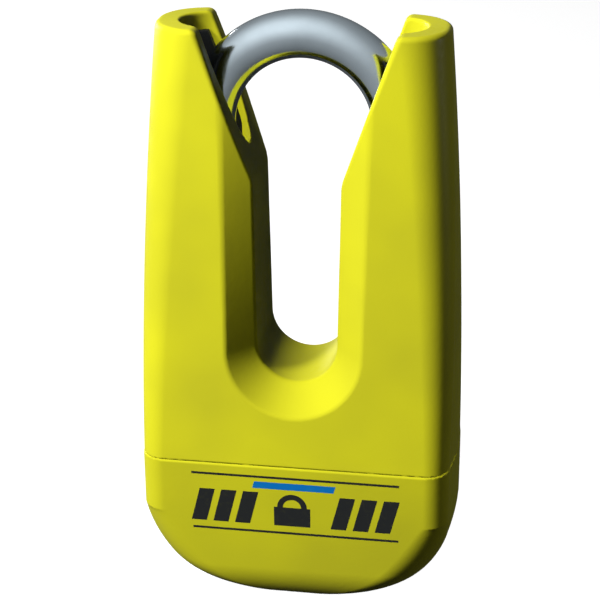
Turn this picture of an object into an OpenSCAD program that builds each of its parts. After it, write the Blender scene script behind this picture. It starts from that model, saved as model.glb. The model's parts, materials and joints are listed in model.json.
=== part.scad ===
// Disc brake lock with a removable U shackle, bolted at both legs, and a disc-detainer cylinder in its base.
// Millimetres. The origin is the centre of the flat under the base, +Z is up and the front faces -Y.

/* [Body] */
// Width across the body at the parting line
body_w = 76; // [75:0.2:78]
// Depth of the body at the parting line
body_d = 38.9; // [38:0.1:42]
// Depth of the arms at their top
arm_top_d = 23.8; // [22.6:0.1:25]
// How much narrower each side is at the top of the arms
arm_lean = 4.4; // [3.6:0.2:4.8]
// Height of the top of the arms
arm_top_z = 139.4; // [137:0.2:142]
// Height of the parting line between the body and the base cover
seam_z = 36.6; // [36.2:0.1:37.4]
// Plan radius of the vertical corners at the parting line
corner_r = 5.8; // [5:0.1:8]
// Plan radius of the vertical corners at the top of the arms
top_corner_r = 10.8; // [8:0.1:11]

/* [Rotor slot and mouth] */
// Half the width of the slot at its round bottom
slot_r = 9.5; // [8.5:0.1:9.8]
// Height of the centre of the slot's round bottom
slot_arc_z = 65; // [64.8:0.1:66]
// Half the width of the slot where the V mouth starts
slot_mouth_x = 10.2; // [9.9:0.1:10.5]
// Height where the V mouth starts
mouth_z = 104.4; // [103:0.1:106]
// Half the width of the V mouth at the top of the arms
mouth_top_x = 22.5; // [22:0.1:23.5]
// Width of the chamfer around the slot, seen from the front
chamfer_w = 6.4; // [5:0.1:6.6]

/* [Shackle] */
// Diameter of the shackle bar
shackle_d = 11; // [10:0.2:11]
// Distance between the centre lines of the legs
shackle_span = 42.8; // [42.6:0.1:43]
// Height of the centre of the shackle's bow
bow_z = 115.3; // [113:0.1:117]
// Height of the ends of the legs
leg_end_z = 32.2; // [31.8:0.1:33]

/* [Locking bolts] */
// Diameter of the two locking bolts
bolt_d = 8; // [7:0.2:8]
// How far each bolt moves into the shackle
bolt_travel = 2.9; // [2.5:0.1:2.9]
// Height of the bolts' centre line
bolt_z = 44; // [43.8:0.1:44.2]

/* [Cylinder] */
// Diameter of the cylinder's housing
housing_d = 20.8; // [20:0.1:20.8]
// Diameter of the turning core
plug_d = 12.8; // [12.4:0.1:12.8]
// Number of detainer discs
disc_count = 9; // [6:1:9]

/* [Dust cover] */
// How far the keyway cover slides
cover_travel = 11; // [10.8:0.1:11]
// Radius of the key's hole through the base
key_hole_r = 4.2; // [3.4:0.1:4.2]

/* [Hidden] */

$fn = 64;
hull_fn = 32;       // roundness of the corners inside hulls
slice_t = 0.02;     // thickness of the thin slices that hulls span
slip = 0.1;         // radial clearance round the shackle's legs
fit = 0.05;         // radial clearance of turning and sliding steel
over = 1;           // how far a cutter runs past the face it cuts

// Outer shape
crown_r = 86;                       // plan radius of the bulge of both sides
crown_fn = 200;
lean_power = 1.75;                  // how slowly that lean starts
lip = 0.15;                         // how far the base cover stands out at the parting line
top_round = 1.2;                    // rounding of the arms' top edge
base_draft = 1.4;                   // how much shallower the base's half depth is at its bottom
curve_z = 22.6;                     // height where the base starts to curve in
bottom_round = 12.5;                // rounding of the base's lower edges, front and back
round_cut = 4;                      // part of that rounding's height that the flat cuts off
flat_cut = 0.6;                     // slice taken off the curved bottom to make the flat
side_power = 4.3;                   // powers of the curve between side and bottom
bottom_power = 1.55;
base_corner_r = 14;                 // plan radius of the base's corners at its bottom
base_corner_power = 0.6;            // how soon they grow to it
base_slices = 14;
arm_slices = 6;

// Slot
wall_half_d = 10.18;                // half depth of the slot's wall at the height of the bow's centre
wall_slope = 0.016;                 // growth of that half depth for each millimetre down
cutter_reach = 1.2;                 // how far the chamfer cutter runs out, as a share of the chamfer
cutter_start = -0.4;                // and how far inside the slot's wall it starts
mouth_slope = (mouth_top_x - slot_mouth_x) / (arm_top_z - mouth_z);

// Legs, grooves and sleeves
leg_x = shackle_span / 2;
leg_r = shackle_d / 2;
leg_chamfer = 1.2;
leg_bore_r = leg_r + slip;
leg_floor_z = 28;
groove_x = 20.5;                    // centre of the open groove at the arm's top
groove_r = 7.65;
groove_z = 99.2;                    // floor of that groove
liner_top = 4.1;                    // how far the groove's liner stays below the arm's top
liner_back = 2.05;                  // and behind the mouth, measured level
sleeve_r = 6.7;
sleeve_z = 51.5;
seal_h = 1.5;
seal_lip = 0.02;                    // clearance between the seal and the leg
seal_lip_h = 0.6;                   // height of the lip's edge

// Spigot of the body inside the base cover
spigot_w = 61;
spigot_d = 30.6;
spigot_r = 5;
spigot_z = 15;
spigot_bevel = 5;
pocket_gap = 0.15;
seal_groove_z = 31;
seal_groove_h = 2;
seal_groove_d = 1.3;

// Bolt room
room_r = 10.5;                      // bore up the middle of the body
room_top_z = 48.7;
guide_z = 38.6;
guide_h = 10;
cam_room_r = 7.3;
bolt_r = bolt_d / 2;
bolt_tail_x = 4.4;                  // inner end of a withdrawn bolt
bolt_nose_x = 15.6;                 // outer end of a withdrawn bolt
nose_chamfer = 1;
notch_gap = 0.4;                    // clearance round and ahead of a thrown bolt

// Cam on the core's tang
cam_z = 40.6;
cam_h = 5.6;
cam_r_min = 3.7;
cam_r_max = 6.95;
cam_hold = 105;                     // degrees behind the lobe's start where it begins to fall
cam_fall = 165;                     // and where it is back at its smallest
cam_step = 5;
tang_w = 5;
tang_top_z = 46;
screw_r = 1.5;
screw_head_r = 2.7;
screw_head_h = 1.6;
screw_socket_r = 1.4;

// Cylinder
housing_z = 6;
housing_h = 32.5;
housing_r = housing_d / 2;
housing_lip = 0.5;
housing_lip_r = 5.6;
plug_r = plug_d / 2;
plate_z = 6.6;
plate_h = 1.8;
plug_z = 8.5;
plug_top_z = 34.6;
stack_z = 11.6;                     // underside of the first disc
stack_pocket_z = 11.5;
disc_r = 4.95;
disc_t = 1.8;
spacer_t = 0.4;
disc_gap = 0.02;                    // play on each side of a spacer
disc_pitch = disc_t + spacer_t + 2 * disc_gap;
spacer_hole_r = 3;
keyway_r = 2.7;
keyway_flat = 0.9;                  // distance of the keyway's flat from the axis
cap_spigot_z = 31.9;
cap_z = 34.7;
cap_top_z = 37.2;
cap_neck_r = 3.9;
cap_neck_z = 40.4;
clip_z = 37.3;
clip_h = 0.8;
clip_r = 6.9;
clip_hole_r = 5.3;
clip_gap_w = 3;
bar_w = 1.9;
bar_in_y = 3.95;
bar_out_y = 6.35;
bar_z = 9.6;
bar_h = 23.8;
bar_travel = 1;
bar_gap = 0.15;                     // room behind the bar when it is out
bar_end_gap = 0.6;                  // and below its lower end
gate_gap = 0.05;
spring_seat_y = 1.9;
spring_r = 0.55;
spring_wire_r = 0.14;
spring_turns = 4;
spring_sides = 6;                   // facets round the wire
spring_rings = 12;                  // and rings of them in each turn
spring_hole_r = 0.8;
spring_z = [10.5, 32.6];

// Fasteners
pin_r = 1.5;
pin_x = 11;
pin_z = 25;
pin_inset = 0.2;                    // how far the pin's ends sit below the spigot's faces
base_screw_r = 2;
base_screw_head_r = 3.6;
base_screw_head_h = 3.2;
base_screw_z = 9;
hex_sides = 6;
hex_r = 1.7;                        // socket of the base screws
hex_depth = 1.8;

// Dust cover
channel_top_z = 2;
channel_w = 11.2;
channel_lip_z = 0.55;
channel_mouth_w = 9.2;
channel_x = -6.7;
cover_w = 11;
cover_x = -6.5;
cover_l = 16;
cover_z = 0.58;
cover_t = 1.38;
rib_w = 8.8;
rib_l = 1.2;
rib_x = [3.5, 6.5];
rib_z = 0.15;
stop_pin_r = 0.75;
stop_pin_x = 6.2;
stop_pin_y = 4.6;
stop_pin_z = 1.25;
stop_pin_top_z = 5.2;
stop_groove_l = cover_travel + 2 * (stop_pin_r + slip);
stop_groove_x = stop_pin_x + stop_pin_r + slip - stop_groove_l;
stop_groove_w = 1.9;
stop_groove_z = 1.15;

yellow = [0.84, 0.82, 0.14];
steel = [0.75, 0.78, 0.8];
dark_steel = [0.45, 0.47, 0.5];
brass = [0.8, 0.66, 0.32];
rubber = [0.1, 0.1, 0.1];

// ---- outer shape ----

function rise(z) = (z - seam_z) / (arm_top_z - seam_z);
function body_half_w(z) = body_w / 2 - arm_lean * pow(rise(z), lean_power);
function body_half_d(z) = body_d / 2 - (body_d - arm_top_d) / 2 * rise(z);
function body_corner_r(z) = corner_r + (top_corner_r - corner_r) * rise(z);

base_low_z = -flat_cut;
function base_drop(z) = max(0, (curve_z - z) / (curve_z - base_low_z));
function base_half_w(z) =
    (body_w / 2 + lip) * pow(1 - pow(base_drop(z), bottom_power), 1 / side_power);
function base_wall_half_d(z) = body_d / 2 + lip - base_draft * (seam_z - z) / seam_z;
function bottom_inset(h) =
    h < bottom_round ? bottom_round - sqrt(pow(bottom_round, 2) - pow(bottom_round - h, 2)) : 0;
function base_half_d(z) = base_wall_half_d(z) - bottom_inset(z + round_cut);
function base_plan_r(z) =
    corner_r + (base_corner_r - corner_r) * pow(base_drop(z), base_corner_power);

// A thin slice with round corners and bulging sides
module slice(z, half_w, half_d, r) {
    corner_y = half_d - r;
    corner_x = half_w - pow(corner_y, 2) / (2 * crown_r) - r;
    translate([0, 0, z]) linear_extrude(slice_t) {
        for (sx = [-1, 1], sy = [-1, 1])
            translate([sx * corner_x, sy * corner_y]) circle(r, $fn = hull_fn);
        for (sx = [-1, 1])
            intersection() {
                translate([sx * (half_w - crown_r), 0]) circle(crown_r, $fn = crown_fn);
                square([2 * half_w, 2 * corner_y], center = true);
            }
    }
}

module body_slice(z, inset) {
    slice(z, body_half_w(z) - inset, body_half_d(z) - inset, body_corner_r(z) - inset);
}

module body_outside() {
    straight_top_z = arm_top_z - top_round;
    hull() {
        for (i = [0 : arm_slices])
            body_slice(seam_z + (straight_top_z - seam_z) * i / arm_slices, 0);
        for (a = [30 : 30 : 90])
            body_slice(straight_top_z + top_round * sin(a) - slice_t, top_round * (1 - cos(a)));
    }
}

module base_outside() {
    bottom_angle = asin(curve_z / (curve_z - base_low_z));
    hull() {
        slice(seam_z - slice_t, base_half_w(seam_z), base_half_d(seam_z), base_plan_r(seam_z));
        for (i = [0 : base_slices]) {
            z = curve_z - (curve_z - base_low_z) * sin(bottom_angle * i / base_slices);
            slice(max(z, 0), base_half_w(z), base_half_d(z), base_plan_r(z));
        }
    }
}

// A plate with four round corners, grown by g on every side
module rounded_plate(w, d, r, h, g = 0) {
    linear_extrude(h) {
        square([w + 2 * g, d - 2 * r], center = true);
        square([w - 2 * r, d + 2 * g], center = true);
        for (sx = [-1, 1], sy = [-1, 1])
            translate([sx * (w / 2 - r), sy * (d / 2 - r)]) circle(r + g);
    }
}

// The spigot's outline seen from the front, with bevelled lower corners
module spigot_front(g) {
    half_w = spigot_w / 2 + g;
    low_z = spigot_z - g;
    rotate([90, 0, 0]) linear_extrude(body_d, center = true)
        polygon([
            [-half_w, seam_z + over], [-half_w, spigot_z + spigot_bevel], [-half_w + spigot_bevel, low_z],
            [half_w - spigot_bevel, low_z], [half_w, spigot_z + spigot_bevel], [half_w, seam_z + over]
        ]);
}

module spigot(g = 0) {
    intersection() {
        translate([0, 0, spigot_z - g])
            rounded_plate(spigot_w, spigot_d, spigot_r, seam_z + over - spigot_z + g, g);
        spigot_front(g);
    }
}

// ---- slot and mouth ----

// The slot with its V mouth, seen from the front
module slot_front() {
    mouth_high_z = arm_top_z + over;
    mouth_high_x = mouth_top_x + mouth_slope * over;
    rotate([90, 0, 0]) linear_extrude(2 * body_d, center = true) {
        translate([0, slot_arc_z]) circle(slot_r);
        polygon([
            [-slot_r, slot_arc_z], [slot_r, slot_arc_z], [slot_mouth_x, mouth_z],
            [mouth_high_x, mouth_high_z], [-mouth_high_x, mouth_high_z], [-slot_mouth_x, mouth_z]
        ]);
    }
}

// One end of the chamfer cutter, a share t of the way from the slot's wall to the front face:
// the slot's outline in a thin leaning plane
module chamfer_edge(t) {
    wall_y = wall_half_d + wall_slope * (bow_z - slot_arc_z);
    face_y = body_half_d(slot_arc_z);
    face_slope = (body_d - arm_top_d) / 2 / (arm_top_z - seam_z);
    half_d = wall_y + (face_y - wall_y) * t;
    slope = wall_slope + (face_slope - wall_slope) * t;
    g = chamfer_w * t;
    mouth_h = arm_top_z + over - slot_arc_z;
    flare = slot_mouth_x - slot_r;
    translate([0, -half_d, slot_arc_z]) rotate([90 - atan(slope), 0, 0]) linear_extrude(slice_t) {
        circle(slot_r + g, $fn = 2 * hull_fn);
        polygon([
            [-slot_r - g, 0], [slot_r + g, 0],
            [slot_r + g + flare, mouth_h], [-slot_r - g - flare, mouth_h]
        ]);
    }
}

module slot_chamfer() {
    hull() {
        chamfer_edge(cutter_start);
        chamfer_edge(cutter_reach);
    }
}

// ---- body ----

module leg_bores() {
    for (s = [-1, 1]) {
        translate([s * leg_x, 0, leg_floor_z]) cylinder(r = leg_bore_r, h = sleeve_z - leg_floor_z + over);
        translate([s * leg_x, 0, sleeve_z]) cylinder(r = sleeve_r, h = groove_z - sleeve_z + over);
        translate([s * groove_x, 0, groove_z]) cylinder(r = groove_r, h = arm_top_z);
        translate([s * leg_x, 0, spigot_z - over]) cylinder(r = base_screw_r + slip, h = leg_floor_z);
    }
}

module cross_bore(r, half_l) {
    translate([-half_l, 0, bolt_z]) rotate([0, 90, 0]) cylinder(r = r, h = 2 * half_l);
}

module seal_groove() {
    translate([0, 0, seal_groove_z - seal_groove_h / 2]) difference() {
        translate([-body_w / 2, -body_d / 2, 0]) cube([body_w, body_d, seal_groove_h]);
        translate([0, 0, -over])
            rounded_plate(spigot_w, spigot_d, spigot_r, seal_groove_h + 2 * over, -seal_groove_d);
    }
}

module body_casting() {
    color(yellow) difference() {
        union() {
            body_outside();
            spigot();
        }
        slot_front();
        slot_chamfer();
        mirror([0, 1, 0]) slot_chamfer();
        leg_bores();
        translate([0, 0, spigot_z - over]) cylinder(r = room_r, h = room_top_z - spigot_z + over);
        cross_bore(bolt_r + fit, leg_x);
        translate([pin_x, 0, pin_z]) rotate([90, 0, 0]) cylinder(r = pin_r, h = body_d, center = true);
        seal_groove();
    }
}

// ---- base cover ----

module cover_channel() {
    channel_l = body_w / 2;
    translate([channel_x, -channel_w / 2, channel_lip_z])
        cube([channel_l, channel_w, channel_top_z - channel_lip_z]);
    translate([channel_x, -channel_mouth_w / 2, -over]) cube([channel_l, channel_mouth_w, channel_top_z]);
}

module base_cover() {
    color(yellow) difference() {
        base_outside();
        spigot(pocket_gap);
        translate([0, 0, housing_z - slip]) cylinder(r = room_r, h = seam_z);
        cylinder(r = key_hole_r, h = seam_z);
        for (s = [-1, 1])
            translate([s * leg_x, 0, base_screw_z - over / 2]) cylinder(r = base_screw_r + fit, h = seam_z);
        cover_channel();
        translate([stop_pin_x, stop_pin_y, 0]) cylinder(r = stop_pin_r, h = stop_pin_top_z);
    }
}

module base_seal() {
    seal_h_fit = seal_groove_h - 2 * fit;
    color(rubber) translate([0, 0, seal_groove_z - seal_h_fit / 2]) difference() {
        rounded_plate(spigot_w, spigot_d, spigot_r, seal_h_fit, pocket_gap - fit / 2);
        translate([0, 0, -over])
            rounded_plate(spigot_w, spigot_d, spigot_r, seal_h_fit + 2 * over, fit / 2 - seal_groove_d);
    }
}

module base_screws() {
    color(dark_steel) for (s = [-1, 1]) translate([s * leg_x, 0, 0]) difference() {
        union() {
            translate([0, 0, base_screw_z]) cylinder(r = base_screw_r, h = leg_floor_z - base_screw_z + over);
            translate([0, 0, leg_floor_z]) cylinder(r = base_screw_head_r, h = base_screw_head_h);
        }
        translate([0, 0, leg_floor_z + base_screw_head_h - hex_depth])
            cylinder(r = hex_r, h = hex_depth + over, $fn = hex_sides);
    }
}

// ---- shackle and its guides ----

module shackle() {
    color(steel) difference() {
        union() {
            translate([0, 0, bow_z]) rotate([90, 0, 0])
                rotate_extrude(angle = 180) translate([leg_x, 0]) circle(leg_r);
            for (s = [-1, 1]) translate([s * leg_x, 0, 0]) {
                translate([0, 0, leg_end_z + leg_chamfer])
                    cylinder(r = leg_r, h = bow_z - leg_end_z - leg_chamfer);
                translate([0, 0, leg_end_z])
                    cylinder(r1 = leg_r - leg_chamfer, r2 = leg_r, h = leg_chamfer);
            }
        }
        cross_bore(bolt_r + notch_gap, bolt_nose_x + bolt_travel + notch_gap);
    }
}

module guide_sleeve() {
    color(dark_steel) translate([0, 0, sleeve_z]) difference() {
        cylinder(r = sleeve_r, h = groove_z - seal_h - sleeve_z);
        translate([0, 0, -over]) cylinder(r = leg_bore_r, h = groove_z);
    }
}

module guide_sleeve_left() {
    translate([-leg_x, 0, 0]) guide_sleeve();
}

module guide_sleeve_right() {
    translate([leg_x, 0, 0]) guide_sleeve();
}

module leg_seal() {
    inner_r = leg_r + seal_lip;
    color(rubber) translate([0, 0, groove_z - seal_h]) rotate_extrude()
        polygon([
            [leg_bore_r + fit, 0], [sleeve_r, 0], [sleeve_r, seal_h],
            [inner_r, seal_h], [inner_r, seal_h - seal_lip_h]
        ]);
}

module leg_seal_left() {
    translate([-leg_x, 0, 0]) leg_seal();
}

module leg_seal_right() {
    translate([leg_x, 0, 0]) leg_seal();
}

// Liner of the groove: closed behind the leg, open towards the mouth, and cut along the mouth's slope
module groove_liner() {
    top_z = arm_top_z - liner_top;
    color(rubber) intersection() {
        translate([groove_x, 0, groove_z]) difference() {
            cylinder(r = groove_r, h = top_z - groove_z);
            translate([leg_x - groove_x, 0, -over]) cylinder(r = leg_bore_r, h = arm_top_z);
            translate([leg_x - groove_x - body_w, -leg_bore_r, -over])
                cube([body_w, 2 * leg_bore_r, arm_top_z]);
        }
        rotate([90, 0, 0]) linear_extrude(body_d, center = true)
            polygon([
                [slot_mouth_x + liner_back - mouth_slope * (mouth_z - groove_z + over), groove_z - over],
                [mouth_top_x + liner_back, arm_top_z],
                [body_w / 2, arm_top_z], [body_w / 2, groove_z - over]
            ]);
    }
}

module groove_liner_right() {
    groove_liner();
}

module groove_liner_left() {
    mirror([1, 0, 0]) groove_liner();
}

// ---- bolts ----

module bolt_guide() {
    color(dark_steel) difference() {
        translate([0, 0, guide_z]) cylinder(r = room_r - fit, h = guide_h);
        translate([0, 0, guide_z - over]) cylinder(r = cam_room_r, h = guide_h + 2 * over);
        cross_bore(bolt_r + fit, room_r + over);
    }
}

module bolt() {
    straight_l = bolt_nose_x - nose_chamfer - bolt_tail_x;
    color(steel) translate([bolt_tail_x, 0, bolt_z]) rotate([0, 90, 0]) {
        cylinder(r = bolt_r, h = straight_l);
        translate([0, 0, straight_l]) cylinder(r1 = bolt_r, r2 = bolt_r - nose_chamfer, h = nose_chamfer);
    }
}

module bolt_right() {
    bolt();
}

module bolt_left() {
    mirror([1, 0, 0]) bolt();
}

// Radius of the cam b degrees behind the start of a lobe
function cam_radius(b) =
    b < 90 ? cam_r_min + (cam_r_max - cam_r_min) * b / 90 :
    b < cam_hold ? cam_r_max :
    b < cam_fall ? cam_r_max - (cam_r_max - cam_r_min) * (b - cam_hold) / (cam_fall - cam_hold) :
    cam_r_min;

module bolt_cam() {
    color(dark_steel) translate([0, 0, cam_z]) difference() {
        linear_extrude(cam_h) polygon([
            for (a = [0 : cam_step : 360 - cam_step])
                cam_radius((360 - a) % 180) * [cos(a), sin(a)]
        ]);
        translate([0, 0, cam_h / 2]) cube([tang_w + 2 * fit, tang_w + 2 * fit, cam_h + over], center = true);
    }
}

module cam_screw() {
    head_z = cam_z + cam_h + fit;
    color(steel) difference() {
        union() {
            translate([0, 0, cap_neck_z]) cylinder(r = screw_r, h = head_z - cap_neck_z + over);
            translate([0, 0, head_z]) cylinder(r = screw_head_r, h = screw_head_h);
        }
        translate([0, 0, head_z + screw_head_h / 2])
            cylinder(r = screw_socket_r, h = screw_head_h, $fn = hex_sides);
    }
}

// ---- cylinder ----

// The half-moon opening for the key
module keyway_cut(z, h) {
    translate([0, 0, z]) intersection() {
        cylinder(r = keyway_r, h = h);
        translate([-keyway_r, -keyway_r, 0]) cube([2 * keyway_r, keyway_r + keyway_flat, h]);
    }
}

// Room for the sidebar, from its inner edge outwards
module bar_slot(z, h, outer_y) {
    half_w = bar_w / 2 + gate_gap;
    translate([-half_w, bar_in_y - gate_gap, z]) cube([2 * half_w, outer_y - bar_in_y + gate_gap, h]);
}

module spring_seat(z) {
    translate([0, spring_seat_y, z]) rotate([-90, 0, 0]) cylinder(r = spring_hole_r, h = plug_r);
}

module cylinder_housing() {
    bar_room = bar_out_y + bar_travel + bar_gap;
    bore_z = housing_z + housing_lip;
    bar_groove_z = bar_z - bar_end_gap;
    color(brass) difference() {
        translate([0, 0, housing_z]) cylinder(r = housing_r, h = housing_h);
        translate([0, 0, housing_z - over]) cylinder(r = housing_lip_r, h = housing_h);
        translate([0, 0, bore_z]) cylinder(r = plug_r + fit, h = housing_h);
        for (a = [0, 90])
            rotate([0, 0, a]) bar_slot(bar_groove_z, cap_top_z - bar_groove_z, bar_room);
        translate([0, 0, clip_z - fit]) cylinder(r = clip_r + fit, h = clip_h + 2 * fit);
        translate([pin_x, 0, pin_z]) rotate([90, 0, 0])
            cylinder(r = pin_r + fit, h = housing_d, center = true);
    }
}

module anti_drill_plate() {
    color(dark_steel) difference() {
        translate([0, 0, plate_z]) cylinder(r = plug_r, h = plate_h);
        keyway_cut(plate_z - over, plate_h + 2 * over);
    }
}

module cylinder_plug() {
    color(brass) difference() {
        translate([0, 0, plug_z]) cylinder(r = plug_r, h = plug_top_z - plug_z);
        translate([0, 0, stack_pocket_z]) cylinder(r = disc_r + fit, h = plug_top_z);
        keyway_cut(plug_z - over, stack_pocket_z);
        bar_slot(bar_z - gate_gap, plug_top_z, plug_r + over);
        spring_seat(spring_z[0]);
    }
}

module detainer_discs() {
    color(brass) for (i = [0 : disc_count - 1]) {
        z = stack_z + i * disc_pitch;
        difference() {
            translate([0, 0, z]) cylinder(r = disc_r, h = disc_t);
            keyway_cut(z - over, disc_t + 2 * over);
            bar_slot(z - over, disc_t + 2 * over, plug_r);
        }
    }
}

module disc_spacers() {
    color(steel) for (i = [0 : disc_count - 2]) {
        z = stack_z + i * disc_pitch + disc_t + disc_gap;
        difference() {
            translate([0, 0, z]) cylinder(r = disc_r, h = spacer_t);
            translate([0, 0, z - over]) cylinder(r = spacer_hole_r, h = spacer_t + 2 * over);
            bar_slot(z - over, spacer_t + 2 * over, plug_r);
        }
    }
}

module sidebar() {
    color(steel) intersection() {
        translate([-bar_w / 2, bar_in_y, bar_z]) cube([bar_w, bar_out_y, bar_h]);
        cylinder(r = bar_out_y, h = housing_h + housing_z);
    }
}

// A ring of points round the spring's wire, at angle a along its helix
function wire_ring(a, sides, length) =
    [for (k = [0 : sides - 1])
        let (w = 360 * k / sides, r = spring_r + spring_wire_r * cos(w))
        [r * cos(a), r * sin(a), spring_wire_r + (length - 2 * spring_wire_r) * a / (360 * spring_turns)
            + spring_wire_r * sin(w)]];

module spring(length) {
    sides = spring_sides;
    rings = spring_rings * spring_turns;
    last = sides * rings;
    points = [for (i = [0 : rings]) each wire_ring(360 * spring_turns * i / rings, sides, length)];
    walls = [for (i = [0 : rings - 1], k = [0 : sides - 1])
        [i * sides + k, i * sides + (k + 1) % sides, (i + 1) * sides + (k + 1) % sides, (i + 1) * sides + k]];
    ends = [[for (k = [sides - 1 : -1 : 0]) k], [for (k = [0 : sides - 1]) last + k]];
    polyhedron(points, concat(walls, ends));
}

module sidebar_springs() {
    color(steel) for (z = spring_z)
        translate([0, spring_seat_y + fit, z]) rotate([-90, 0, 0]) spring(bar_in_y - spring_seat_y - 2 * fit);
}

module plug_end_cap() {
    color(brass) difference() {
        union() {
            translate([0, 0, cap_spigot_z]) cylinder(r = disc_r, h = cap_z - cap_spigot_z + over);
            translate([0, 0, cap_z]) cylinder(r = plug_r, h = cap_top_z - cap_z);
            translate([0, 0, cap_z]) cylinder(r = cap_neck_r, h = cap_neck_z - cap_z);
            translate([-tang_w / 2, -tang_w / 2, cap_neck_z - over])
                cube([tang_w, tang_w, tang_top_z - cap_neck_z + over]);
        }
        bar_slot(cap_spigot_z - over, bar_z + bar_h + gate_gap + over - cap_spigot_z, plug_r);
        spring_seat(spring_z[1]);
        translate([0, 0, cap_neck_z]) cylinder(r = screw_r, h = tang_top_z);
    }
}

module plug_clip() {
    color(steel) translate([0, 0, clip_z]) difference() {
        cylinder(r = clip_r, h = clip_h);
        translate([0, 0, -over]) cylinder(r = clip_hole_r, h = clip_h + 2 * over);
        translate([0, -clip_gap_w / 2, -over]) cube([clip_r + over, clip_gap_w, clip_h + 2 * over]);
    }
}

module retaining_pin() {
    color(steel) translate([pin_x, 0, pin_z]) rotate([90, 0, 0])
        cylinder(r = pin_r, h = spigot_d - 2 * pin_inset, center = true);
}

// ---- dust cover ----

module keyway_cover() {
    color(dark_steel) difference() {
        union() {
            translate([cover_x, -cover_w / 2, cover_z]) cube([cover_l, cover_w, cover_t]);
            for (x = rib_x)
                translate([x, -rib_w / 2, rib_z]) cube([rib_l, rib_w, cover_z]);
        }
        translate([stop_groove_x, cover_w / 2 - stop_groove_w, stop_groove_z])
            cube([stop_groove_l, cover_w, cover_t]);
    }
}

module cover_stop_pin() {
    color(steel) translate([stop_pin_x, stop_pin_y, stop_pin_z])
        cylinder(r = stop_pin_r, h = stop_pin_top_z - stop_pin_z);
}

body_casting();
base_cover();
shackle();
guide_sleeve_left();
guide_sleeve_right();
groove_liner_left();
groove_liner_right();
leg_seal_left();
leg_seal_right();
base_seal();
base_screws();
retaining_pin();
bolt_guide();
bolt_left();
bolt_right();
bolt_cam();
cam_screw();
cylinder_housing();
cylinder_plug();
anti_drill_plate();
detainer_discs();
disc_spacers();
sidebar();
sidebar_springs();
plug_end_cap();
plug_clip();
keyway_cover();
cover_stop_pin();
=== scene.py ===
import json
import math

import bpy
import numpy as np
from mathutils import Matrix, Vector

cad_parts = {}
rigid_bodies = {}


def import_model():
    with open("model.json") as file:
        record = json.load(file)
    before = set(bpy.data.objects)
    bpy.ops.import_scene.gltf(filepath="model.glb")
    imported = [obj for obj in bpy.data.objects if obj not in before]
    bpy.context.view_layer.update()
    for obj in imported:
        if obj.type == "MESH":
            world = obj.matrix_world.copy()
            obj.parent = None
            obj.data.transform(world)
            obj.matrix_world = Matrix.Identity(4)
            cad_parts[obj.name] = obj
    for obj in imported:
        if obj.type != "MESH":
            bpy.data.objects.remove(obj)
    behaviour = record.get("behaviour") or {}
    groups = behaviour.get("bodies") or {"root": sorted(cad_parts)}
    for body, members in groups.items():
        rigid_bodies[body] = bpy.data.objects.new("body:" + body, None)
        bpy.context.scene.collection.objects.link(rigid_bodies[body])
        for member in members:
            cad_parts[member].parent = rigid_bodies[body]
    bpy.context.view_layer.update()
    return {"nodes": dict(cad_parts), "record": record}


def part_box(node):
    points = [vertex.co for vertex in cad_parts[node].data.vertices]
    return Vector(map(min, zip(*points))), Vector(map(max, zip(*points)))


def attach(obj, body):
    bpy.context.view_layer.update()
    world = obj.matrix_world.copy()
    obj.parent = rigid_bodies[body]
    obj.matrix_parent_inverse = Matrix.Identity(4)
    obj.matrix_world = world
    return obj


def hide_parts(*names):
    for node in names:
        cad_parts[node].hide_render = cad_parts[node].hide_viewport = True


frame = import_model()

# Shapes are worked out in millimetres, in the CAD frame, and become metres when their mesh is made.
MM = 0.001


def node_box(name):
    low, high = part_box(name)
    return np.array(low) / MM, np.array(high) / MM


body_low, body_high = node_box("body_casting")
base_low, base_high = node_box("base_cover")
shackle_low, shackle_high = node_box("shackle")
cover_low, cover_high = node_box("keyway_cover")

# ---- sizes, in mm ----

EDGE = 0.45                 # rounding of the body's machined edges
SEAM_EDGE = 0.25            # rounding along the parting line
GROOVE_EDGE = 0.7           # rounding of the grooves' edges
MOUTH_EDGE_GROWTH = 0.9     # how much rounder the mouth's edges become towards the top
OVER = 1.0                  # how far a cut or a joined shape runs past the face where it ends

# Outside
SEAM_Z = base_high[2]
TOP_Z = body_high[2]
LIP = 0.15                  # how far the base stands out at the parting line
BODY_W = base_high[0] - base_low[0] - 2 * LIP
BODY_D = base_high[1] - base_low[1] - 2 * LIP
ARM_TOP_D = 23.8
ARM_LEAN = 4.4              # how far each side leans in at the top
LEAN_POWER = 1.75           # how slowly that lean starts
TOP_ROUND = 1.2
CORNER_R = 5.8
TOP_CORNER_R = 10.8
CROWN_R = 86.0              # plan radius of the bulge of both sides
BASE_DRAFT = 1.4            # how much shallower the base's half depth is at its bottom
BASE_CURVE_Z = 22.6         # height where the base starts to curve in
BASE_ROUND = 12.5           # rounding of its lower edges, front and back
BASE_ROUND_CUT = 4.0        # part of that rounding's height that the flat cuts off
BASE_CORNER_R = 14.0        # plan radius of its corners at the bottom
BASE_CORNER_POWER = 0.6     # how soon they grow to it
FLAT_CUT = 0.6              # slice taken off the curved bottom to make the flat
SIDE_POWER = 4.3            # powers of the curve between side and bottom
BOTTOM_POWER = 1.55
MOST_DROP = 0.9999          # keeps that curve's width off zero

# Slot, mouth and chamfer
SLOT_R = 9.5
SLOT_ARC_Z = 65.0
MOUTH_X = 10.2
MOUTH_Z = 104.4
MOUTH_TOP_X = 22.5
MOUTH_SLOPE = (MOUTH_TOP_X - MOUTH_X) / (TOP_Z - MOUTH_Z)
CHAMFER = 6.4
WALL_HALF_D = 10.18         # half depth of the slot's wall at the height of the bow's centre
WALL_SLOPE = 0.016          # growth of that half depth for each millimetre down

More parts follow.
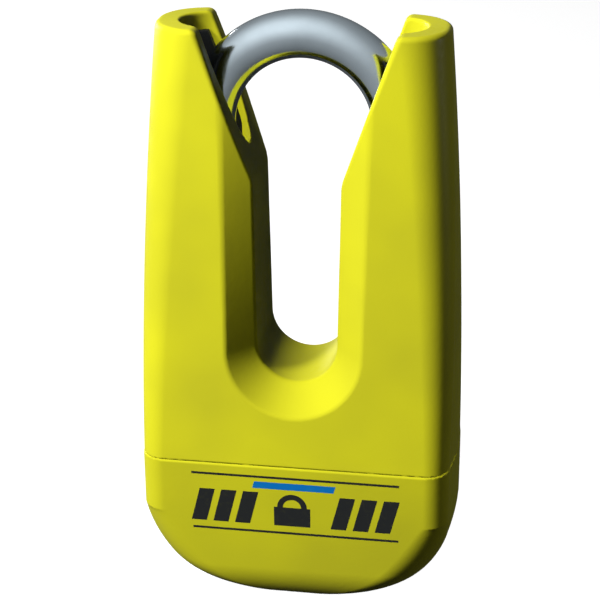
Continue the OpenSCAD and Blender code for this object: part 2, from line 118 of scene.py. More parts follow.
# Shackle and what guides it
SHACKLE_R = shackle_high[1]
LEG_X = shackle_high[0] - SHACKLE_R
BOW_Z = shackle_high[2] - LEG_X - SHACKLE_R
LEG_END_Z = shackle_low[2]
LEG_END_EDGE = 0.2
LEG_CHAMFER = 1.2
LEG_CHAMFER_EDGE = 0.4
LEG_BORE_R = SHACKLE_R + 0.1
LEG_FLOOR_Z = 28.0
GROOVE_X = 20.5
GROOVE_R = 7.65
GROOVE_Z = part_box("leg_seal_left")[1][2] / MM
LINER_TOP_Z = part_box("groove_liner_left")[1][2] / MM
LINER_BACK = 2.05           # how far the liner is cut back from the mouth
LINER_BORE_EDGE = 0.15
LINER_TOP_EDGE = 0.3
LINER_EDGE = 0.2
SLEEVE_R = 6.7
SLEEVE_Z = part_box("guide_sleeve_left")[0][2] / MM
BOLT_Z = (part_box("bolt_left")[0][2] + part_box("bolt_left")[1][2]) / 2 / MM
BOLT_BORE_R = 4.05
NOTCH_R = 4.4
NOTCH_X = 18.9
NOTCH_EDGE = 0.3

# Inside of the body and base
SPIGOT_W = 61.0
SPIGOT_D = 30.6
SPIGOT_R = 5.0
SPIGOT_Z = body_low[2]
SPIGOT_BEVEL = 5.0
POCKET_GAP = 0.15
SEAL_Z = 31.0
SEAL_HALF_H = 1.0
SEAL_DEPTH = 1.3
ROOM_R = 10.5
ROOM_TOP_Z = 48.7
ROOM_FLOOR_Z = 5.9
SCREW_BORE_R = 2.1
BASE_SCREW_BORE_R = 2.05
BASE_SCREW_Z = 8.5
KEY_HOLE_R = 4.2
CHANNEL_X = -6.7
CHANNEL_HALF_W = 5.6
CHANNEL_MOUTH_HALF_W = 4.6
CHANNEL_LIP_Z = 0.55
CHANNEL_TOP_Z = 2.0
COVER_Z = 0.58
COVER_EDGE = 0.15
COVER_RIBS = (3.5, 6.5)
COVER_RIB_L = 1.2
COVER_RIB_HALF_W = 4.4
COVER_RIB_SINK = 0.5        # how far the ribs reach into the cover
STOP_GROOVE_X = (-5.65, 7.05)
STOP_GROOVE_W = 1.9
STOP_GROOVE_Z = 1.15
STOP_GROOVE_EDGE = 0.1

# ---- shapes as distance fields: below 0 is inside ----

SLOPE_STEP = 0.02           # step over which the base's slope is measured


def rounded_max(a, b, r):
    """The overlap of two shapes, with the edge between them rounded."""
    u = np.maximum(a + r, 0)
    v = np.maximum(b + r, 0)
    return np.minimum(np.maximum(a, b), -r) + np.sqrt(u * u + v * v)


def round_corner(qx, qy, r):
    """Two sides that meet in a round corner. qx and qy say how far past the rounding's centre a point is."""
    outside = np.sqrt(np.maximum(qx, 0) ** 2 + np.maximum(qy, 0) ** 2)
    return np.minimum(np.maximum(qx, qy), 0) + outside - r


def plan(x, y, half_w, half_d, r):
    """A rectangle with round corners and bulging sides, seen from above."""
    across = np.abs(y)
    bulge = np.minimum(across, half_d - r) ** 2 / (2 * CROWN_R)
    return round_corner(np.abs(x) - (half_w - bulge - r), across - (half_d - r), r)


def plate(x, y, w, d, r):
    """A rectangle with round corners."""
    return round_corner(np.abs(x) - (w / 2 - r), np.abs(y) - (d / 2 - r), r)


def between(v, low, high):
    return np.maximum(low - v, v - high)


def body_half_d(z):
    return BODY_D / 2 - (BODY_D - ARM_TOP_D) / 2 * (z - SEAM_Z) / (TOP_Z - SEAM_Z)


def slot(x, z):
    """Distance from the slot's outline, without the V of the mouth."""
    slope = (MOUTH_X - SLOT_R) / (MOUTH_Z - SLOT_ARC_Z)
    wall = (np.abs(x) - SLOT_R - slope * (z - SLOT_ARC_Z)) / math.hypot(1, slope)
    return np.where(z < SLOT_ARC_Z, np.hypot(x, z - SLOT_ARC_Z) - SLOT_R, wall)


def mouth(x, z):
    return (np.abs(x) - MOUTH_X - MOUTH_SLOPE * (z - MOUTH_Z)) / math.hypot(1, MOUTH_SLOPE)


def spigot(x, y, z, gap):
    """The plug under the body that the base fits over, larger by gap."""
    front = np.maximum(
        between(z, SPIGOT_Z - gap, SEAM_Z + OVER),
        (np.abs(x) - (z - SPIGOT_Z) - SPIGOT_W / 2 + SPIGOT_BEVEL) / math.sqrt(2) - gap,
    )
    return np.maximum(front, plate(x, y, SPIGOT_W, SPIGOT_D, SPIGOT_R) - gap)


def body_outside(x, y, z):
    rise = (z - SEAM_Z) / (TOP_Z - SEAM_Z)
    half_d = body_half_d(z)
    sides = plan(
        x, y, BODY_W / 2 - ARM_LEAN * np.maximum(rise, 0) ** LEAN_POWER, half_d,
        CORNER_R + (TOP_CORNER_R - CORNER_R) * rise,
    )
    f = rounded_max(sides, z - TOP_Z, TOP_ROUND)
    f = rounded_max(f, SEAM_Z - z, SEAM_EDGE)
    outline = slot(x, z)
    mouth_edge = EDGE + MOUTH_EDGE_GROWTH * np.clip((z - MOUTH_Z) / (TOP_Z - MOUTH_Z), 0, 1)
    f = rounded_max(f, rounded_max(-outline, -mouth(x, z), EDGE), mouth_edge)
    wall_y = WALL_HALF_D + WALL_SLOPE * (BOW_Z - z)
    depth = half_d - wall_y
    chamfer = (outline - CHAMFER * (np.abs(y) - wall_y) / depth) / np.hypot(1, CHAMFER / depth)
    f = rounded_max(f, -chamfer, EDGE)
    groove = np.maximum(np.hypot(np.abs(x) - GROOVE_X, y) - GROOVE_R, GROOVE_Z - z)
    return rounded_max(f, -groove, GROOVE_EDGE)


def body_field(x, y, z):
    f = np.minimum(body_outside(x, y, z), spigot(x, y, z, 0))
    from_leg = np.hypot(np.abs(x) - LEG_X, y)
    from_axis = np.hypot(x, y)
    holes = (
        np.maximum(from_leg - SLEEVE_R, between(z, SLEEVE_Z, GROOVE_Z + OVER)),
        np.maximum(from_leg - LEG_BORE_R, between(z, LEG_FLOOR_Z, SLEEVE_Z + OVER)),
        np.maximum(from_leg - SCREW_BORE_R, z - LEG_FLOOR_Z - OVER),
        np.maximum(from_axis - ROOM_R, z - ROOM_TOP_Z),
        np.maximum(np.hypot(y, z - BOLT_Z) - BOLT_BORE_R, np.abs(x) - LEG_X),
        np.maximum(
            np.abs(z - SEAL_Z) - SEAL_HALF_H,
            -plate(x, y, SPIGOT_W, SPIGOT_D, SPIGOT_R) - SEAL_DEPTH,
        ),
    )
    for hole in holes:
        f = np.maximum(f, -hole)
    return f


def base_half_d(z):
    """Half depth of the base above its lower edges' rounding."""
    return BODY_D / 2 + LIP - BASE_DRAFT * (SEAM_Z - z) / SEAM_Z


def base_sides(x, y, z):
    bottom_z = -FLAT_CUT
    drop = np.clip((BASE_CURVE_Z - z) / (BASE_CURVE_Z - bottom_z), 0, MOST_DROP)
    half_w = (BODY_W / 2 + LIP) * (1 - drop**BOTTOM_POWER) ** (1 / SIDE_POWER)
    below = np.clip(BASE_ROUND - (z + BASE_ROUND_CUT), 0, BASE_ROUND)
    half_d = base_half_d(z) - (BASE_ROUND - np.sqrt(BASE_ROUND**2 - below**2))
    corner_r = CORNER_R + (BASE_CORNER_R - CORNER_R) * drop**BASE_CORNER_POWER
    return plan(x, y, half_w, half_d, corner_r)


def base_field(x, y, z):
    sides = base_sides(x, y, z)
    slope = (base_sides(x, y, z + SLOPE_STEP) - base_sides(x, y, z - SLOPE_STEP)) / (2 * SLOPE_STEP)
    f = rounded_max(sides / np.hypot(1, slope), z - SEAM_Z, SEAM_EDGE)
    f = rounded_max(f, -z, EDGE)
    from_axis = np.hypot(x, y)
    channel = np.maximum(CHANNEL_X - x, np.abs(y) - CHANNEL_HALF_W)
    channel_mouth = np.maximum(CHANNEL_X - x, np.abs(y) - CHANNEL_MOUTH_HALF_W)
    holes = (
        spigot(x, y, z, POCKET_GAP),
        np.maximum(from_axis - ROOM_R, ROOM_FLOOR_Z - z),
        from_axis - KEY_HOLE_R,
        np.maximum(np.hypot(np.abs(x) - LEG_X, y) - BASE_SCREW_BORE_R, BASE_SCREW_Z - z),
        np.maximum(channel, between(z, CHANNEL_LIP_Z, CHANNEL_TOP_Z)),
        np.maximum(channel_mouth, z - CHANNEL_TOP_Z + OVER),
    )
    for hole in holes:
        f = np.maximum(f, -hole)
    return f


def shackle_field(x, y, z):
    round_bow = np.hypot(np.hypot(x, z - BOW_Z) - LEG_X, y)
    from_leg = np.hypot(np.abs(x) - LEG_X, y)
    f = np.where(z > BOW_Z, round_bow, from_leg) - SHACKLE_R
    f = rounded_max(f, LEG_END_Z - z, LEG_END_EDGE)
    bevel = (from_leg - SHACKLE_R + LEG_CHAMFER - (z - LEG_END_Z)) / math.sqrt(2)
    f = rounded_max(f, np.where(z > BOW_Z, -SHACKLE_R, bevel), LEG_CHAMFER_EDGE)
    notch = np.maximum(np.hypot(y, z - BOLT_Z) - NOTCH_R, np.abs(x) - NOTCH_X)
    return rounded_max(f, -notch, NOTCH_EDGE)


def liner_field(x, y, z):
    """The right groove's liner: closed behind the leg and cut back from the mouth."""
    cut = (MOUTH_X + LINER_BACK + MOUTH_SLOPE * (z - MOUTH_Z) - x) / math.hypot(1, MOUTH_SLOPE)
    from_leg = np.hypot(np.maximum(x - LEG_X, 0), y) - LEG_BORE_R
    f = rounded_max(np.hypot(x - GROOVE_X, y) - GROOVE_R, -from_leg, LINER_BORE_EDGE)
    f = rounded_max(f, rounded_max(cut, z - LINER_TOP_Z, LINER_TOP_EDGE), LINER_EDGE)
    return np.maximum(f, GROOVE_Z - z)


def box_field(x, y, z, low, high, edge):
    f = rounded_max(between(x, low[0], high[0]), between(y, low[1], high[1]), edge)
    return rounded_max(f, between(z, low[2], high[2]), edge)


def cover_field(x, y, z):
    """The sliding dust cover, with two grip ribs underneath and a groove for its stop pin."""
    f = box_field(x, y, z, (cover_low[0], cover_low[1], COVER_Z), cover_high, COVER_EDGE)
    for start in COVER_RIBS:
        low = (start, -COVER_RIB_HALF_W, cover_low[2])
        high = (start + COVER_RIB_L, COVER_RIB_HALF_W, COVER_Z + COVER_RIB_SINK)
        f = np.minimum(f, box_field(x, y, z, low, high, COVER_EDGE))
    low = (STOP_GROOVE_X[0], cover_high[1] - STOP_GROOVE_W, STOP_GROOVE_Z)
    high = (STOP_GROOVE_X[1], cover_high[1] + OVER, cover_high[2] + OVER)
    return np.maximum(f, -box_field(x, y, z, low, high, STOP_GROOVE_EDGE))


# ---- meshes from fields ----

GRADIENT_STEP = 0.01
LEAST_STEEPNESS = 0.05      # square of the gradient under which a point's step is held back
TINY = 1e-9
BIG_FACE = 0.35             # area in square millimetres
FLAT_LIMIT = math.cos(math.radians(7))      # past this bend a big face keeps its own normal
WRONG_LIMIT = math.cos(math.radians(60))    # and past this one every face does
GRID_MARGIN = 1.3           # how many steps the grid reaches past a piece
FINE_PITCH = 0.25           # height of the flat layers of a piece's fine bottom part
FINE_START = 0.31           # how far under the piece those layers start
FINE_GAP = 0.1              # least distance from the last of them to the next layer

# The twelve edges of a grid cell, each as its two corners
EDGES = [
    (a, tuple(a[k] + (k == axis) for k in range(3)))
    for axis in range(3)
    for a in [(i, j, k) for i in (0, 1) for j in (0, 1) for k in (0, 1)]
    if a[axis] == 0
]


def gradient(field, p):
    g = np.empty_like(p)
    for axis in range(3):
        d = np.zeros(3)
        d[axis] = GRADIENT_STEP
        g[:, axis] = (field(*(p + d).T) - field(*(p - d).T)) / (2 * GRADIENT_STEP)
    return g


def onto_surface(field, p, reach, rounds=4):
    """Points moved to where the field is 0, by at most reach in each round."""
    for _ in range(rounds):
        g = gradient(field, p)
        step = g * (field(*p.T) / np.maximum((g * g).sum(1), LEAST_STEEPNESS))[:, None]
        size = np.linalg.norm(step, axis=1, keepdims=True)
        p = p - step * np.minimum(1, reach / np.maximum(size, TINY))
    return p


def surface_net(field, xs, ys, zs):
    """Points and quads on the surface where the field is 0, one point for each grid cell that it crosses."""
    f = field(xs[:, None, None], ys[None, :, None], zs[None, None, :])
    inside = f < 0
    count = sum(
        inside[i : len(xs) - 1 + i, j : len(ys) - 1 + j, k : len(zs) - 1 + k].astype(np.int8)
        for i in (0, 1) for j in (0, 1) for k in (0, 1)
    )
    cell = np.argwhere((count > 0) & (count < 8))
    number = np.full(count.shape, -1, np.int64)
    number[tuple(cell.T)] = np.arange(len(cell))
    total = np.zeros((len(cell), 3))
    hits = np.zeros(len(cell))
    for a, b in EDGES:
        ia, ib = (cell + a).T, (cell + b).T
        fa, fb = f[tuple(ia)], f[tuple(ib)]
        hit = (fa < 0) != (fb < 0)
        t = (fa / np.where(hit, fa - fb, 1))[:, None]
        pa = np.stack([xs[ia[0]], ys[ia[1]], zs[ia[2]]], 1)
        pb = np.stack([xs[ib[0]], ys[ib[1]], zs[ib[2]]], 1)
        total += np.where(hit[:, None], pa + t * (pb - pa), 0)
        hits += hit
    points = total / hits[:, None]
    quads = []
    for axis in range(3):
        u, v = (axis + 1) % 3, (axis + 2) % 3
        low = [slice(1, -1)] * 3
        high = [slice(1, -1)] * 3
        low[axis], high[axis] = slice(0, -1), slice(1, None)
        start, end = inside[tuple(low)], inside[tuple(high)]
        at = np.argwhere(start != end)
        at[:, u] += 1
        at[:, v] += 1
        ring = []
        for du, dv in ((-1, -1), (0, -1), (0, 0), (-1, 0)):
            c = at.copy()
            c[:, u] += du
            c[:, v] += dv
            ring.append(number[tuple(c.T)])
        q = np.stack(ring, 1)
        outward = start[start != end]
        quads.append(np.where(outward[:, None], q, q[:, ::-1]))
    return points, np.concatenate(quads)


def mesh_from_arrays(name, points, faces):
    me = bpy.data.meshes.new(name)
    n, k = faces.shape
    me.vertices.add(len(points))
    me.vertices.foreach_set("co", points.astype(np.float32).ravel())
    me.loops.add(n * k)
    me.loops.foreach_set("vertex_index", faces.astype(np.int32).ravel())
    me.polygons.add(n)
    me.polygons.foreach_set("loop_start", np.arange(0, n * k, k, dtype=np.int32))
    me.update(calc_edges=True)
    me.validate()
    return me


def loop_normals(me, field):
    """The field's own normal at each corner, or the face's where a long face meets a small rounding."""
    n = len(me.vertices)
    p = np.empty(n * 3)
    me.vertices.foreach_get("co", p)
    p = p.reshape(-1, 3) / MM
    g = gradient(field, p)
    g /= np.maximum(np.linalg.norm(g, axis=1, keepdims=True), TINY)
    corner = np.empty(len(me.loops), np.int32)
    me.loops.foreach_get("vertex_index", corner)
    sides = np.empty(len(me.polygons), np.int32)
    me.polygons.foreach_get("loop_total", sides)
    face_normal = np.empty(len(me.polygons) * 3)
    me.polygons.foreach_get("normal", face_normal)
    area = np.empty(len(me.polygons))
    me.polygons.foreach_get("area", area)
    flat = np.repeat(face_normal.reshape(-1, 3), sides, axis=0)
    big = np.repeat(area, sides) / MM**2 > BIG_FACE
    smooth = g[corner]
    agree = (smooth * flat).sum(1)
    keep_flat = (big & (agree < FLAT_LIMIT)) | (agree < WRONG_LIMIT)
    return np.where(keep_flat[:, None], flat, smooth)


def field_piece(name, field, low, high, pitch, most_faces, fine_below=None):
    """A piece whose surface is where the field is 0, as a smooth mesh of at most that many triangles."""
    grid = []
    for axis in range(3):
        a, b = low[axis] - GRID_MARGIN * pitch, high[axis] + GRID_MARGIN * pitch
        grid.append(np.linspace(a, b, int((b - a) / pitch) + 1))
    if fine_below is not None:
        z = grid[2]
        fine = np.arange(low[2] - FINE_START, fine_below, FINE_PITCH)
        grid[2] = np.concatenate([fine, z[z > fine_below + FINE_GAP]])
    points, quads = surface_net(field, *grid)
    points = onto_surface(field, points, pitch / 2)
    obj = bpy.data.objects.new(name, mesh_from_arrays(name, points * MM, quads))
    bpy.context.scene.collection.objects.link(obj)
    faces = 2 * len(quads)
    if faces > most_faces:
        thin = obj.modifiers.new("thin", "DECIMATE")
        thin.ratio = most_faces / faces
        thin.use_collapse_triangulate = True
        thinned = obj.evaluated_get(bpy.context.evaluated_depsgraph_get())
        me = bpy.data.meshes.new_from_object(thinned)
        obj.modifiers.clear()
        obj.data = me
    obj.data.shade_smooth()
    obj.data.normals_split_custom_set(loop_normals(obj.data, field))
    return obj


# ---- materials ----


class Nodes:
    """A material's node tree, with short names for what the materials here use."""

    def __init__(self, name):
        self.material = bpy.data.materials.new(name)
        self.material.use_nodes = True
        self.tree = self.material.node_tree
        self.shader = self.tree.nodes["Principled BSDF"]

    def set(self, **values):
        for key, value in values.items():
            self.shader.inputs[key.replace("_", " ")].default_value = value

    def add(self, kind, **inputs):
        node = self.tree.nodes.new("ShaderNode" + kind)
        for key, value in inputs.items():
            self.put(node.inputs[key], value)
        return node

    def put(self, socket, value):
        if isinstance(value, bpy.types.NodeSocket):
            self.tree.links.new(value, socket)
        else:
            socket.default_value = value

    def link(self, value, name):
        self.tree.links.new(value, self.shader.inputs[name])

    def place(self, scale=(1, 1, 1)):
        """Object coordinates, in millimetres times scale."""
        coords = self.add("TexCoord")
        mapping = self.add("Mapping", Vector=coords.outputs["Object"])
        mapping.inputs["Scale"].default_value = [s / MM for s in scale]
        return mapping.outputs["Vector"]

    def noise(self, scale, detail, rough=0.5, place=None):
        place = place or self.place()
        return self.add("TexNoise", Vector=place, Scale=scale, Detail=detail, Roughness=rough).outputs["Fac"]

    def math(self, operation, a, b):
        node = self.add("Math")
        node.operation = operation
        self.put(node.inputs[0], a)
        self.put(node.inputs[1], b)
        return node.outputs[0]

    def spread(self, value, low, high, to_low=0.0, to_high=1.0):
        node = self.add("MapRange", Value=value)
        for key, v in (("From Min", low), ("From Max", high), ("To Min", to_low), ("To Max", to_high)):
            node.inputs[key].default_value = v
        return node.outputs[0]

    def mix(self, share, a, b):
        node = self.add("Mix")
        node.data_type = "RGBA"
        self.put(node.inputs[0], share)
        self.put(node.inputs[6], a)
        self.put(node.inputs[7], b)
        return node.outputs[2]

    def bump(self, height, strength, distance, below=None):
        node = self.add("Bump", Height=height, Strength=strength, Distance=distance * MM)
        if below is not None:
            self.put(node.inputs["Normal"], below)
        return node.outputs["Normal"]


def linear(r, g, b):
    """A linear colour from 8-bit sRGB values."""
    def one(v):
        v /= 255
        return v / 12.92 if v <= 0.04045 else ((v + 0.055) / 1.055) ** 2.4

    return (one(r), one(g), one(b), 1)


# The orange peel of the paint, which the ink on it follows. A noise's scale is in waves to a millimetre,
# and a bump's distance is its height in millimetres.
PEEL_NOISE = dict(scale=0.9, detail=2, rough=0.4)
PEEL_BUMP = dict(strength=0.16, distance=0.10)
NOISE_MIDDLE = dict(low=0.3, high=0.7)      # the range that most of a noise's values are in


def painted(name, colour, worn, chips):
    """Powder coat: a fine orange peel, slightly uneven colour, and small rubbed spots."""
    m = Nodes(name)
    patches = m.noise(scale=0.035, detail=2)
    fine = m.noise(scale=1.6, detail=3, rough=0.6)
    peel = m.noise(**PEEL_NOISE)
    tone = m.mix(m.spread(patches, low=0.35, high=0.65), colour, worn)
    chip_edge, chip_depth = 0.04, 0.35
    specks = m.spread(fine, low=chips, high=chips + chip_edge)
    m.link(m.mix(m.math("MULTIPLY", specks, chip_depth), tone, worn), "Base Color")
    m.link(m.spread(peel, **NOISE_MIDDLE, to_low=0.34, to_high=0.44), "Roughness")
    grain = m.bump(fine, strength=0.10, distance=0.05)
    m.link(m.bump(peel, **PEEL_BUMP, below=grain), "Normal")
    m.set(Specular_IOR_Level=0.15)
    return m.material


def bright_metal(name, colour, dark, rough, stretch, scratches):
    """Polished or brushed metal: fine lines along one direction, faint smears and a few scratches."""
    m = Nodes(name)
    lines = m.noise(scale=1.0, detail=3, rough=0.6, place=m.place(stretch))
    smears = m.noise(scale=0.09, detail=3, rough=0.55)
    scratch = m.noise(scale=0.7, detail=2, rough=0.5, place=m.place((1.8, 1.2, 0.05)))
    m.link(m.mix(m.spread(smears, low=0.35, high=0.7), colour, dark), "Base Color")
    brushed = m.spread(lines, **NOISE_MIDDLE, to_low=rough * 0.8, to_high=rough * 1.2)
    smeared = m.spread(smears, low=0.5, high=0.75, to_low=0, to_high=0.05)
    m.link(m.math("ADD", brushed, smeared), "Roughness")
    grain = m.bump(lines, strength=0.05, distance=0.01)
    m.link(m.bump(scratch, strength=scratches, distance=0.02, below=grain), "Normal")
    m.set(Metallic=1.0)
    return m.material


def moulded(name, colour, light):
    """Rubber: matt, with a fine grain and a dusty bloom."""
    m = Nodes(name)
    grain = m.noise(scale=3.0, detail=4, rough=0.6)
    bloom = m.noise(scale=0.2, detail=3)
    m.link(m.mix(m.spread(bloom, low=0.4, high=0.7), colour, light), "Base Color")
    m.link(m.spread(grain, **NOISE_MIDDLE, to_low=0.55, to_high=0.75), "Roughness")
    m.link(m.bump(grain, strength=0.3, distance=0.04), "Normal")
    return m.material


def printed(name, colour, faded):
    """Ink screened on the paint: it follows the orange peel and thins a little."""
    m = Nodes(name)
    peel = m.noise(**PEEL_NOISE)
    thin = m.noise(scale=0.8, detail=4, rough=0.6)
    m.link(m.mix(m.spread(thin, low=0.55, high=0.8), colour, faded), "Base Color")
    m.link(m.spread(thin, **NOISE_MIDDLE, to_low=0.38, to_high=0.5), "Roughness")
    m.link(m.bump(peel, **PEEL_BUMP), "Normal")
    return m.material


yellow_paint = painted("yellow_paint", linear(214, 211, 36), linear(200, 197, 38), chips=0.66)
shackle_steel = bright_metal(
    "shackle_steel", linear(208, 216, 220), linear(196, 204, 208),
    rough=0.15, stretch=(0.5, 0.5, 4), scratches=0.02,
)
hard_steel = bright_metal(
    "hard_steel", linear(120, 124, 130), linear(86, 90, 96),
    rough=0.34, stretch=(2.0, 2.0, 0.2), scratches=0.2,
)
plated_steel = bright_metal(
    "plated_steel", linear(176, 178, 180), linear(140, 142, 146),
    rough=0.28, stretch=(0.4, 3.0, 3.0), scratches=0.2,
)
brass = bright_metal(
    "brass", linear(212, 176, 96), linear(176, 136, 70),
    rough=0.26, stretch=(3.0, 3.0, 0.3), scratches=0.2,
)
rubber = moulded("rubber", linear(13, 13, 14), linear(26, 26, 26))
black_ink = printed("black_ink", linear(16, 17, 16), linear(40, 40, 22))
blue_ink = printed("blue_ink", linear(0, 116, 196), linear(30, 132, 190))

SLOT_MATERIALS = {
    "yellow_coat": yellow_paint,
    "polished_steel": shackle_steel,
    "hard_steel": hard_steel,
    "plated_steel": plated_steel,
    "seal_rubber": rubber,
    "cylinder_brass": brass,
}


def dress(obj, material):
    obj.data.materials.clear()
    obj.data.materials.append(material)


for part in frame["record"]["subparts"]:
    dress(frame["nodes"][part["node"]], SLOT_MATERIALS[part["material_slot"]])

# ---- pieces ----

body = field_piece("body", body_field, body_low, body_high, pitch=0.45, most_faces=190000)
dress(body, yellow_paint)
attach(body, "lock_body")
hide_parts("body_casting")

base = field_piece("base", base_field, base_low, base_high, pitch=0.5, most_faces=150000, fine_below=2.6)
dress(base, yellow_paint)
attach(base, "lock_body")
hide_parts("base_cover")

bar = field_piece("shackle_bar", shackle_field, shackle_low, shackle_high, pitch=0.5, most_faces=120000)
dress(bar, shackle_steel)
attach(bar, "shackle")
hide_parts("shackle")

cover = field_piece("dust_cover", cover_field, cover_low, cover_high, pitch=0.16, most_faces=60000)
dress(cover, plated_steel)
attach(cover, "keyway_cover")
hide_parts("keyway_cover")

for side, sign in (("right", 1), ("left", -1)):
    name = "groove_liner_" + side
    low, high = node_box(name)

    def side_field(x, y, z, sign=sign):
        return liner_field(sign * x, y, z)

    liner = field_piece("liner_" + side, side_field, low, high, pitch=0.3, most_faces=40000)
    dress(liner, rubber)
    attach(liner, "lock_body")
    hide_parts(name)

# ---- printed marks on the base's front ----

PRINT_RISE = 0.03           # how far the ink stands out
PRINT_SINK = 0.06           # and how far its back is inside the base
RULE_X = (-24.3, 25.6)
RULE_Z = (18.8, 33.8)
RULE_H = 0.6
SIGN_Z = 20.8               # foot of the slanted bars and of the padlock
BAR_X = (-24.6, -19.3, -14.0, 9.3, 14.6, 19.9)
BAR_W = 3.7
BAR_H = 8.8
BAR_LEAN = 0.25
PADLOCK_HALF_W = 4.4
PADLOCK_TOP_Z = 25.9
PADLOCK_BOW_R = (3.6, 2.2)
BLUE_BAR_X = -9.6
BLUE_BAR_Z = 30.7
BLUE_BAR_W = 19.6
BLUE_BAR_H = 1.8
BLUE_BAR_LEAN = 0.3


def printed_shape(name, outlines, material):
    """Flat shapes of ink, each an outline of (x, z) points, on the front of the base."""
    points, faces = [], []
    for outline in outlines:
        n, start = len(outline), len(points)
        for offset in (-PRINT_RISE, PRINT_SINK):
            points += [(x * MM, (offset - base_half_d(z)) * MM, z * MM) for x, z in outline]
        faces.append([start + k for k in range(n)])
        faces.append([start + n + k for k in range(n - 1, -1, -1)])
        for k in range(n):
            after = (k + 1) % n
            faces.append([start + after, start + k, start + n + k, start + n + after])
    me = bpy.data.meshes.new(name)
    me.from_pydata(points, [], faces)
    me.validate()
    obj = bpy.data.objects.new(name, me)
    bpy.context.scene.collection.objects.link(obj)
    dress(obj, material)
    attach(obj, "lock_body")


def slanted(x, z, w, h, lean):
    return [(x, z), (x + w, z), (x + w + lean * h, z + h), (x + lean * h, z + h)]


def padlock_bow(r, start, end, steps=24):
    """An arc round the middle of the padlock's top, from one angle to another in degrees."""
    return [
        (r * math.cos(math.radians(a)), PADLOCK_TOP_Z + r * math.sin(math.radians(a)))
        for a in np.linspace(start, end, steps)
    ]


rules = [
    [(RULE_X[0], z), (RULE_X[1], z), (RULE_X[1], z + RULE_H), (RULE_X[0], z + RULE_H)]
    for z in (RULE_Z[0] - RULE_H / 2, RULE_Z[1] - RULE_H / 2)
]
bars = [slanted(x, SIGN_Z, BAR_W, BAR_H, BAR_LEAN) for x in BAR_X]
padlock = [
    [
        (-PADLOCK_HALF_W, SIGN_Z), (PADLOCK_HALF_W, SIGN_Z),
        (PADLOCK_HALF_W, PADLOCK_TOP_Z), (-PADLOCK_HALF_W, PADLOCK_TOP_Z),
    ],
    padlock_bow(PADLOCK_BOW_R[0], 0, 180) + padlock_bow(PADLOCK_BOW_R[1], 180, 0),
]
blue_bar = slanted(BLUE_BAR_X, BLUE_BAR_Z, BLUE_BAR_W, BLUE_BAR_H, BLUE_BAR_LEAN)
printed_shape("front_rules", rules, black_ink)
printed_shape("front_bars", bars, black_ink)
printed_shape("front_padlock", padlock, black_ink)
printed_shape("front_blue_bar", [blue_bar], blue_ink)

# ---- floor, light and camera ----

# No piece throws diffuse light onto another, which keeps the slot and the mouth in deep shade
for piece in bpy.context.scene.objects:
    if piece.type == "MESH":
        piece.visible_diffuse = False

FLOOR_HALF = 3.0
FLOOR_GAP = 0.0002


def studio_floor():
    me = bpy.data.meshes.new("studio_floor")
    corners = [(-1, -1), (1, -1), (1, 1), (-1, 1)]
    me.from_pydata([(FLOOR_HALF * x, FLOOR_HALF * y, 0) for x, y in corners], [], [(0, 1, 2, 3)])
    floor = bpy.data.objects.new("studio_floor", me)
    floor.location.z = -FLOOR_GAP
    m = Nodes("floor_white")
    m.set(Base_Color=(0.5, 0.5, 0.5, 1), Roughness=0.9)
    m.set(Emission_Color=(1, 1, 1, 1), Emission_Strength=0.8)
    floor.visible_diffuse = False
    floor.visible_glossy = False
    dress(floor, m.material)
    bpy.context.scene.collection.objects.link(floor)


LIGHT_TARGET = Vector((0, 0, 0.07))


def area_light(name, azimuth, elevation, distance, size, power):
    """A square light. Its azimuth is 0 in front and 90 on the right, and its power is in watts."""
    a, e = math.radians(azimuth), math.radians(elevation)
    back = Vector((math.sin(a) * math.cos(e), -math.cos(a) * math.cos(e), math.sin(e)))
    data = bpy.data.lights.new(name, "AREA")
    data.shape = "RECTANGLE"
    data.size = data.size_y = size
    data.energy = power
    light = bpy.data.objects.new(name, data)
    light.location = LIGHT_TARGET + back * distance
    light.rotation_mode = "QUATERNION"
    light.rotation_quaternion = (-back).to_track_quat("-Z", "Y")
    bpy.context.scene.collection.objects.link(light)
    return light


studio_floor()
# Half of the key light casts no shadow, as if it were bounced round the near arm into the grooves.
# Reflections see the glow of the studio and not the lamp itself.
for name, casts_shadow in (("key", True), ("key_open", False)):
    key = area_light(name, azimuth=-46, elevation=38, distance=0.62, size=0.12, power=3.1)
    key.data.use_shadow = casts_shadow
    key.visible_glossy = False
area_light("back", azimuth=228, elevation=8, distance=0.9, size=0.4, power=4.0)
area_light("right_fill", azimuth=98, elevation=3, distance=1.2, size=0.25, power=1.0)

# Reflections see a soft glow in front, above and to the left. Each stop is how far a direction faces the
# glow, from -1 to 1, and the brightness there. The camera sees a pale backdrop beyond the floor's edge,
# and everything else sees next to nothing.
GLOW_DIRECTION = Vector((-0.35, -0.6, 0.72)).normalized()
GLOW_STOPS = ((-0.8, 0.03), (-0.6, 0.16), (-0.15, 0.30), (0.4, 0.45), (0.65, 0.66), (0.85, 0.95), (1.0, 1.3))
GLOW_PEAK = GLOW_STOPS[-1][1]
DIM = 0.008
BACKDROP = 0.8
SKY_COLOUR = (0.88, 0.95, 1, 1)

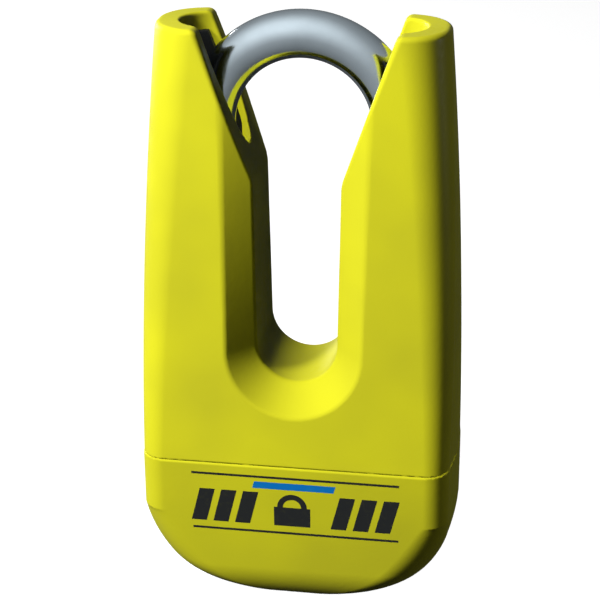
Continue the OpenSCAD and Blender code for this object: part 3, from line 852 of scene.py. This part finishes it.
world = bpy.data.worlds.new("studio")
world.use_nodes = True
sky = world.node_tree
path = sky.nodes.new("ShaderNodeLightPath")
direction = sky.nodes.new("ShaderNodeTexCoord")
facing = sky.nodes.new("ShaderNodeVectorMath")
facing.operation = "DOT_PRODUCT"
facing.inputs[1].default_value = GLOW_DIRECTION
sky.links.new(direction.outputs["Generated"], facing.inputs[0])
turned = sky.nodes.new("ShaderNodeMapRange")
turned.inputs["From Min"].default_value = -1
sky.links.new(facing.outputs["Value"], turned.inputs["Value"])
glow = sky.nodes.new("ShaderNodeValToRGB")
glow.color_ramp.interpolation = "B_SPLINE"
while len(glow.color_ramp.elements) < len(GLOW_STOPS):
    glow.color_ramp.elements.new(0.5)
for stop, (facing_share, value) in zip(glow.color_ramp.elements, GLOW_STOPS):
    stop.position = (facing_share + 1) / 2
    stop.color = [value / GLOW_PEAK] * 3 + [1]
sky.links.new(turned.outputs[0], glow.inputs["Fac"])
scaled = sky.nodes.new("ShaderNodeMath")
scaled.operation = "MULTIPLY"
scaled.inputs[1].default_value = GLOW_PEAK
sky.links.new(glow.outputs["Color"], scaled.inputs[0])
strength = sky.nodes.new("ShaderNodeMix")
strength.inputs[2].default_value = DIM
sky.links.new(path.outputs["Is Glossy Ray"], strength.inputs[0])
sky.links.new(scaled.outputs[0], strength.inputs[3])
backdrop = sky.nodes.new("ShaderNodeMath")
backdrop.operation = "MULTIPLY_ADD"
backdrop.inputs[1].default_value = BACKDROP
sky.links.new(path.outputs["Is Camera Ray"], backdrop.inputs[0])
sky.links.new(strength.outputs[0], backdrop.inputs[2])
sky.links.new(backdrop.outputs[0], sky.nodes["Background"].inputs["Strength"])
sky.nodes["Background"].inputs["Color"].default_value = SKY_COLOUR
bpy.context.scene.world = world
bpy.context.scene.view_settings.view_transform = "Standard"

# The camera looks from the front, a little from the right and from above
CAMERA_TARGET = Vector((-0.00099, 0, 0.07174))
CAMERA_DISTANCE = 0.43152
CAMERA_AZIMUTH = 9.32
CAMERA_ELEVATION = 22.25
CAMERA_ROLL = -0.248
CAMERA_LENS = 108.36
CAMERA_SENSOR = 36
azimuth, elevation = math.radians(CAMERA_AZIMUTH), math.radians(CAMERA_ELEVATION)
toward = Vector((
    math.sin(azimuth) * math.cos(elevation), -math.cos(azimuth) * math.cos(elevation), math.sin(elevation),
))
camera_data = bpy.data.cameras.new("camera")
camera_data.lens = CAMERA_LENS
camera_data.sensor_width = CAMERA_SENSOR
camera = bpy.data.objects.new("camera", camera_data)
camera.matrix_world = (
    Matrix.Translation(CAMERA_TARGET + toward * CAMERA_DISTANCE)
    @ (-toward).to_track_quat("-Z", "Y").to_matrix().to_4x4()
    @ Matrix.Rotation(math.radians(CAMERA_ROLL), 4, "Z")
)
bpy.context.scene.collection.objects.link(camera)
bpy.context.scene.camera = camera
